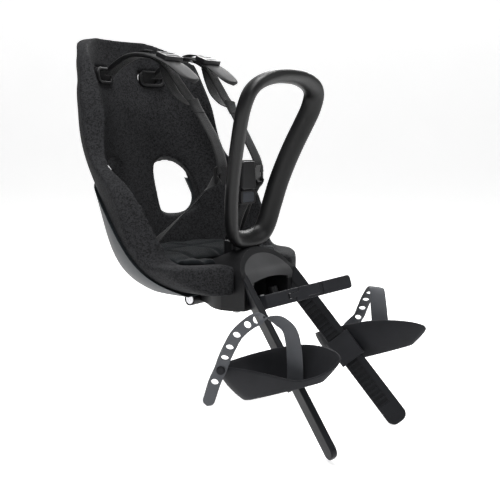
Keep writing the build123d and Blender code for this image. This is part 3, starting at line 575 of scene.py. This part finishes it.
def boat_point(where, way, height):
    """A point of the cup's plan outline, from the heel at 0 to the toe at 5."""
    half = level(height, 20, 29, 36)
    heel = level(height, 74, 86, 104)
    toe = level(height, 68, 98, 124)
    marks = [(-heel * 0.9, -half * 0.62), (-heel, 0), (-heel * 0.9, half * 0.62), (-heel * 0.55, half * 0.98),
             (toe * 0.3, half * 0.86), (toe * 0.86, half * 0.40), (toe, 0), (toe * 0.86, -half * 0.40)]
    i = min(int(where), 4)
    spot = curve_point(*[Vector(m) for m in marks[i:i + 4]], where - i)
    return spot.x, spot.y * way


# Place from the heel to the toe, and the rim's height there
outer_rim = ((0, 61), (1, 60), (2, 57), (2.33, 47), (2.6, 34), (2.85, 20), (3.1, 11), (3.5, 8.5), (4, 10),
             (4.5, 14), (5, 19))
inner_rim = ((0, 61), (1, 62), (2, 63), (2.5, 62), (2.94, 58), (3.39, 47), (3.94, 31), (4.5, 23), (5, 19))
ring_places = [(5 * k / 48, 1) for k in range(49)] + [(5 - 5 * k / 48, -1) for k in range(1, 48)]
rim_heights = [listed(outer_rim if way > 0 else inner_rim, where) for where, way in ring_places]
for turn in range(10):
    rim_heights = [(rim_heights[k - 1] + 2 * rim_heights[k] + rim_heights[(k + 1) % len(rim_heights)]) / 4
                   for k in range(len(rim_heights))]
cup_pitch = math.radians(21)
cup_wall = 0.0034
cup_lift = 0.6
cup_ahead = Vector((math.cos(cup_pitch), 0, math.sin(cup_pitch)))
cup_up = Vector((-math.sin(cup_pitch), 0, math.cos(cup_pitch)))
for side, sign in (("left", 1), ("right", -1)):
    rows = []
    for share in (0.1, 0.5, 0.85):
        rows.append([(boat_point(where, way, 0), 0.0, share) for where, way in ring_places])
    for step in range(9):
        rise = (step / 8) ** 1.2
        rows.append([(boat_point(where, way, top * rise), top * rise, 1.0)
                     for (where, way), top in zip(ring_places, rim_heights)])
    cup_rows = []
    for row in rows:
        cup_rows.append([mm(108.5, 132 * sign, -101) + cup_ahead * (x * share / 1000)
                         + Vector((0, sign, 0)) * (y * share / 1000) + cup_up * ((height + cup_lift) / 1000)
                         for (x, y), height, share in row])
    cup = grid_mesh("cup_" + side, cup_rows, caps=True)
    wall = cup.modifiers.new("wall", "SOLIDIFY")
    wall.thickness = cup_wall
    wall.offset = -1.0
    wall.use_even_offset = True
    finer = cup.modifiers.new("finer", "SUBSURF")
    finer.levels = 1
    finer.render_levels = 1
    baked(cup)
    smooth_shading(cup.data)
    dress(cup, "cup_plastic", "foot_rest_" + side, "foot_cup_" + side)


# Foot straps: a rubber band that rises wide from the cup, bends over and ends in a row of holes

right_marks = ((120.5, 124, -92), (120.5, 124.3, -62), (119, 126, -34), (114.5, 130, -11), (104, 138, 1.5),
               (92, 147.5, 6.5), (80, 157.5, 5.5), (69.5, 166, -1.5), (55.5, 174.5, -17), (43.5, 176.5, -37),
               (33, 175.5, -55), (22.5, 173.5, -76), (15.5, 177, -93), (9.5, 180, -114), (5, 182, -130))
right_sides = [(1, 0.1, 0)] * 3 + [(0.98, 0, 0), (0.93, -0.25, 0), (0.88, -0.4, 0), (0.83, -0.5, 0)]
right_sides += [(0.79, -0.6, 0)] * 8
strap_widths = [0.030, 0.030, 0.029, 0.027, 0.024, 0.021, 0.0195] + [0.019] * 5 + [0.0185, 0.018, 0.018]
strap_thick = [0.0027] * 15
hole_places = (5.3, 6.2, 7.1, 8.05, 9.0, 9.95, 12.0)
hole_half_across = 0.0056
hole_half_along = 0.0044
hole_half_deep = 0.006
left_marks = ((120.5, 124, -92), (117, 127, -62), (112, 131, -36), (106, 136, -12), (100, 142.5, 5),
              (91, 151, 8), (81, 160, 4), (72, 167, -5), (61.5, 173, -19), (51, 179, -37), (41, 181, -56),
              (24.5, 174, -76), (15.5, 177, -93), (9.5, 180, -114), (5, 182, -130))
left_sides = [(1, 0.1, 0)] * 3 + [(0.95, 0.2, -0.1), (0.9, 0.3, -0.15), (0.85, 0.45, -0.1), (0.8, 0.55, 0)]
left_sides += [(0.79, 0.6, 0)] * 4 + [(0.79, 0.1, 0)] + [(0.79, -0.5, 0)] * 3
for side, sign in (("left", 1), ("right", -1)):
    points = [mm(x, y * sign, z) for x, y, z in (left_marks if sign > 0 else right_marks)]
    sides = [Vector((x, y * sign, z)) for x, y, z in (left_sides if sign > 0 else right_sides)]
    strap = band("strap_" + side, points, sides, strap_widths, strap_thick, 8, 11, 0.0, True)
    line = smooth_line(points, 20)
    holes = bmesh.new()
    for place_in_line in hole_places:
        k = min(range(len(line)), key=lambda n: abs(line[n][0] - place_in_line))
        along = (line[k + 1][1] - line[k - 1][1]).normalized()
        across = between(sides, line[k][0])
        across = (across - along * across.dot(along)).normalized()
        through = along.cross(across)
        turn = Matrix((across * hole_half_across, along * hole_half_along, through * hole_half_deep))
        turn = turn.transposed().to_4x4()
        bmesh.ops.create_cone(holes, cap_ends=True, segments=28, radius1=1.0, radius2=1.0, depth=2.0,
                              matrix=Matrix.Translation(line[k][1]) @ turn)
    bmesh.ops.recalc_face_normals(holes, faces=holes.faces[:])
    cutter_mesh = bpy.data.meshes.new("holes_" + side)
    holes.to_mesh(cutter_mesh)
    holes.free()
    cutter = link("holes_" + side, cutter_mesh)
    cut = strap.modifiers.new("holes", "BOOLEAN")
    cut.object = cutter
    cut.operation = "DIFFERENCE"
    cut.solver = "EXACT"
    baked(strap)
    bpy.data.objects.remove(cutter)
    smooth_shading(strap.data)
    strap.data.set_sharp_from_angle(angle=math.radians(38))
    dress(strap, "strap_rubber", "foot_rest_" + side, "foot_strap_" + side)


# Harness: lines of the left side, mirrored for the right

webbing_width = 0.024
webbing_thick = 0.0018
shoulder_line = ((-321, 57.5, 364), (-300, 57, 377), (-262, 55.5, 391), (-218, 53.5, 387), (-188, 52, 371),
                 (-167, 50, 347), (-150, 47.5, 326), (-134, 45.5, 309), (-113, 43.5, 279), (-95, 42.5, 252),
                 (-80, 46, 222), (-75.5, 48, 200))
pad_line = ((-314, 57.5, 372), (-303, 57, 380), (-265, 55.5, 394.4), (-218, 53.5, 392.4), (-172, 51, 375),
            (-131, 49.5, 347))
pad_widths = (0.025, 0.029, 0.035, 0.043, 0.046, 0.043)
slack_line = ((-197, 52.5, 376), (-189, 52, 354), (-175, 50, 331), (-154, 47.5, 315), (-134, 45.5, 307.5))
tab_line = ((-252, 55, 397), (-232, 54, 401), (-212, 53.5, 399))
anchor_line = ((-336, 58, 378), (-341, 58, 364), (-345, 58, 348))
hem_line = ((-138.6, 47, 319), (-133.6, 45.5, 308.5), (-126, 44.7, 297))
lap_line = ((-79, 54, 195), (-100, 63, 174), (-121, 72, 150), (-160, 95, 104), (-194, 111, 66))
lap_sides = ((0.7, 0.1, -0.6), (0.62, 0.72, 0.1), (0.6, 0.78, 0.1), (0.65, 0.6, -0.2), (0.75, 0.25, -0.5))
lap_widths = (0.022, 0.024, 0.024, 0.024, 0.024)


def side_points(line, sign):
    """The points of a line of the left side, or of its mirror image."""
    return [mm(x, y * sign, z) for x, y, z in line]


for side, sign in (("left", 1), ("right", -1)):
    across = [Vector((0, 1, 0))] * len(shoulder_line)
    strap = band("webbing_" + side, side_points(shoulder_line, sign), across,
                 [webbing_width] * len(shoulder_line), [webbing_thick] * len(shoulder_line), 12)
    dress(strap, "webbing", "seat", "shoulder_strap_" + side)
    pad = band("pad_" + side, side_points(pad_line, sign), across[:6], pad_widths, [0.0056] * 6,
               12, 13, 0.12, True)
    dress(pad, "pad_shoulder", "seat", "shoulder_pad_" + side)
    anchor = band("webbing_anchor_" + side, side_points(anchor_line, sign), across[:3],
                  [0.044] * 3, [0.002] * 3, 6)
    dress(anchor, "webbing", "seat")
    slack = band("webbing_slack_" + side, side_points(slack_line, sign), across[:5],
                 [webbing_width] * 5, [0.0016] * 5, 12)
    dress(slack, "webbing", "seat")
    hem = band("webbing_hem_" + side, side_points(hem_line, sign), across[:3],
               [0.0252] * 3, [0.0044] * 3, 10)
    dress(hem, "webbing", "seat")
    tab = band("webbing_tab_" + side, side_points(tab_line, sign), across[:3],
               [webbing_width] * 3, [webbing_thick] * 3, 10)
    dress(tab, "webbing", "seat")
    lap_across = [Vector((x, y * sign, z)) for x, y, z in lap_sides]
    lap = band("lap_webbing_" + side, side_points(lap_line, sign), lap_across, lap_widths,
               [webbing_thick] * 5, 12)
    dress(lap, "webbing", "seat", "lap_strap_" + side)

crotch_line = [mm(-70, 0, 151), mm(-86, 0, 116), mm(-98, 0, 60)]
crotch = band("crotch_webbing", crotch_line, [Vector((0, 1, 0))] * 3, [webbing_width] * 3, [0.003] * 3, 12)
dress(crotch, "webbing", "seat", "crotch_strap")


# Seat pad: a quilted cushion, swollen by a cloth simulation and then drawn in along its seams

cushion_voxel = 0.0045
cloth_frames = 20
cloth_pressure = 4.0
swell_limit = 0.005
seam_depth = 0.0045
seam_half_width = 0.0045
wrinkle_height = 0.0007


def distance_to_line(x, y, line):
    """How far a point in plan lies from a line of points."""
    best = 1.0
    for (x0, y0), (x1, y1) in zip(line, line[1:]):
        dx, dy = x1 - x0, y1 - y0
        share = max(0.0, min(1.0, ((x - x0) * dx + (y - y0) * dy) / (dx * dx + dy * dy)))
        best = min(best, math.hypot(x - x0 - share * dx, y - y0 - share * dy))
    return best


pad_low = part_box("seat_pad")[0]
cushion = link("seat_cushion", nodes["seat_pad"].data.copy())
remesh = cushion.modifiers.new("remesh", "REMESH")
remesh.mode = "VOXEL"
remesh.voxel_size = cushion_voxel
relax = cushion.modifiers.new("relax", "SMOOTH")
relax.iterations = 3
baked(cushion)
start_shape = [v.co.copy() for v in cushion.data.vertices]
held = cushion.vertex_groups.new(name="held")
held.add([v.index for v in cushion.data.vertices if v.co.z < pad_low[2] + 0.0025], 1.0, "REPLACE")
sim = cushion.modifiers.new("cloth", "CLOTH")
sim.settings.vertex_group_mass = "held"
sim.settings.use_pressure = True
sim.settings.uniform_pressure_force = cloth_pressure
sim.settings.effector_weights.gravity = 0.0
sim.point_cache.frame_end = cloth_frames
for number in range(1, cloth_frames + 1):
    scene.frame_set(number)
baked(cushion)
cushion.vertex_groups.clear()
scene.frame_set(1)
for vertex, start in zip(cushion.data.vertices, start_shape):
    move = vertex.co - start
    if move.length > swell_limit:
        vertex.co = start + move * (swell_limit / move.length)
seams = [
    [(-0.275, 0.0), (-0.121, 0.0)],
    [(-0.200, -0.150), (-0.188, -0.075), (-0.188, 0.075), (-0.200, 0.150)],
    [(-0.108, -0.150), (-0.118, -0.073)],
    [(-0.108, 0.150), (-0.118, 0.073)],
    [(-0.188, -0.075), (-0.118, -0.073), (-0.048, -0.105)],
    [(-0.188, 0.075), (-0.118, 0.073), (-0.048, 0.105)],
]
for vertex in cushion.data.vertices:
    if vertex.co.z > pad_low[2] + 0.004:
        near = min(distance_to_line(vertex.co.x, vertex.co.y, line) for line in seams)
        wrinkle = noise.noise(Vector((vertex.co.x * 26, vertex.co.y * 40, 0.3))) * wrinkle_height
        vertex.co.z += wrinkle - seam_depth * math.exp(-(near / seam_half_width) ** 2)
smooth_shading(cushion.data)
finer = cushion.modifiers.new("finer", "SUBSURF")
finer.levels = 1
finer.render_levels = 1
baked(cushion)
smooth_shading(cushion.data)
dress(cushion, "pad_fabric", "seat", "seat_pad")


# Stage, light and camera

# The floor runs away from the camera and sweeps up into a wall.
floor_z = cad_box[0][2] - 0.004
floor_half = 6.0
sweep_start = 4.0
sweep_radius = 1.5
wall_top = 6.0
camera_turn = math.radians(38)
floor_mesh = bpy.data.meshes.new("floor")
rise = []
for step in range(13):
    angle = math.radians(90) * step / 12
    rise.append((sweep_start + sweep_radius * math.sin(angle), floor_z + sweep_radius * (1 - math.cos(angle))))
profile = [(-floor_half, floor_z)] + rise + [(sweep_start + sweep_radius, wall_top)]
look = Vector((-math.sin(camera_turn), math.cos(camera_turn), 0))
side_way = Vector((look.y, -look.x, 0))
corners = []
for along, height in profile:
    for across in (-floor_half, floor_half):
        corners.append(look * along + side_way * across + Vector((0, 0, height)))
faces = [(2 * i, 2 * i + 1, 2 * i + 3, 2 * i + 2) for i in range(len(profile) - 1)]
floor_mesh.from_pydata([tuple(c) for c in corners], [], faces)
smooth_shading(floor_mesh)
floor = link("floor", floor_mesh)
pale, pale_tree, pale_shader = new_material("floor_look", (0.86, 0.86, 0.86), 0.9, 0.1)
pale_noise = add(pale_tree, "ShaderNodeTexNoise", Scale=3.0, Detail=3.0)
pale_tree.links.new(place(pale_tree), pale_noise.inputs["Vector"])
two_tone(pale_tree, pale_shader, pale_noise.outputs["Fac"], (0.85, 0.85, 0.85), (0.87, 0.87, 0.87))
pale_shader.inputs["Emission Color"].default_value = (1, 1, 1, 1)
pale_shader.inputs["Emission Strength"].default_value = 0.56
floor.data.materials.append(pale)

world = bpy.data.worlds.new("studio")
world.use_nodes = True
world.node_tree.nodes["Background"].inputs["Color"].default_value = (1, 1, 1, 1)
world.node_tree.nodes["Background"].inputs["Strength"].default_value = 0.2
# Behind the floor's edge the room is as white as the floor, but it gives the seat only a soft light.
room = world.node_tree
white = add(room, "ShaderNodeBackground", Color=(1, 1, 1, 1), Strength=1.0)
ray = room.nodes.new("ShaderNodeLightPath")
choice = room.nodes.new("ShaderNodeMixShader")
room.links.new(ray.outputs["Is Camera Ray"], choice.inputs[0])
room.links.new(room.nodes["Background"].outputs[0], choice.inputs[1])
room.links.new(white.outputs[0], choice.inputs[2])
room.links.new(choice.outputs[0], room.nodes["World Output"].inputs["Surface"])
scene.world = world
scene.view_settings.view_transform = "Standard"


def area_light(name, where, target, size, power):
    """A round soft light at one place, turned to a target."""
    data = bpy.data.lights.new(name, "AREA")
    data.energy = power
    data.shape = "DISK"
    data.size = size
    lamp = bpy.data.objects.new(name, data)
    lamp.location = where
    lamp.rotation_euler = (Vector(target) - Vector(where)).to_track_quat("-Z", "Y").to_euler()
    scene.collection.objects.link(lamp)


area_light("key", (0.3, -1.1, 2.0), (-0.1, 0, 0.15), 0.8, 25)
area_light("front", (1.4, 0.6, 1.0), (-0.1, 0, 0.1), 1.0, 5)
area_light("top", (-0.2, 0.1, 1.9), (-0.1, 0, 0.1), 0.9, 32)
area_light("low", (0.8, -1.5, 0.45), (0.05, -0.1, -0.05), 0.6, 3.5)
area_light("rim", (-0.7, 1.3, 1.1), (-0.05, 0, 0.1), 0.8, 16)

camera_data = bpy.data.cameras.new("camera")
camera_data.sensor_width = 36.0
camera_data.lens = 61.2
camera_data.clip_end = 50.0
camera = bpy.data.objects.new("camera", camera_data)
camera.location = (0.794, -1.089, 0.2645)
camera.rotation_euler = (math.radians(90 - 7.81), 0, math.radians(38.04))
scene.collection.objects.link(camera)
scene.camera = camera
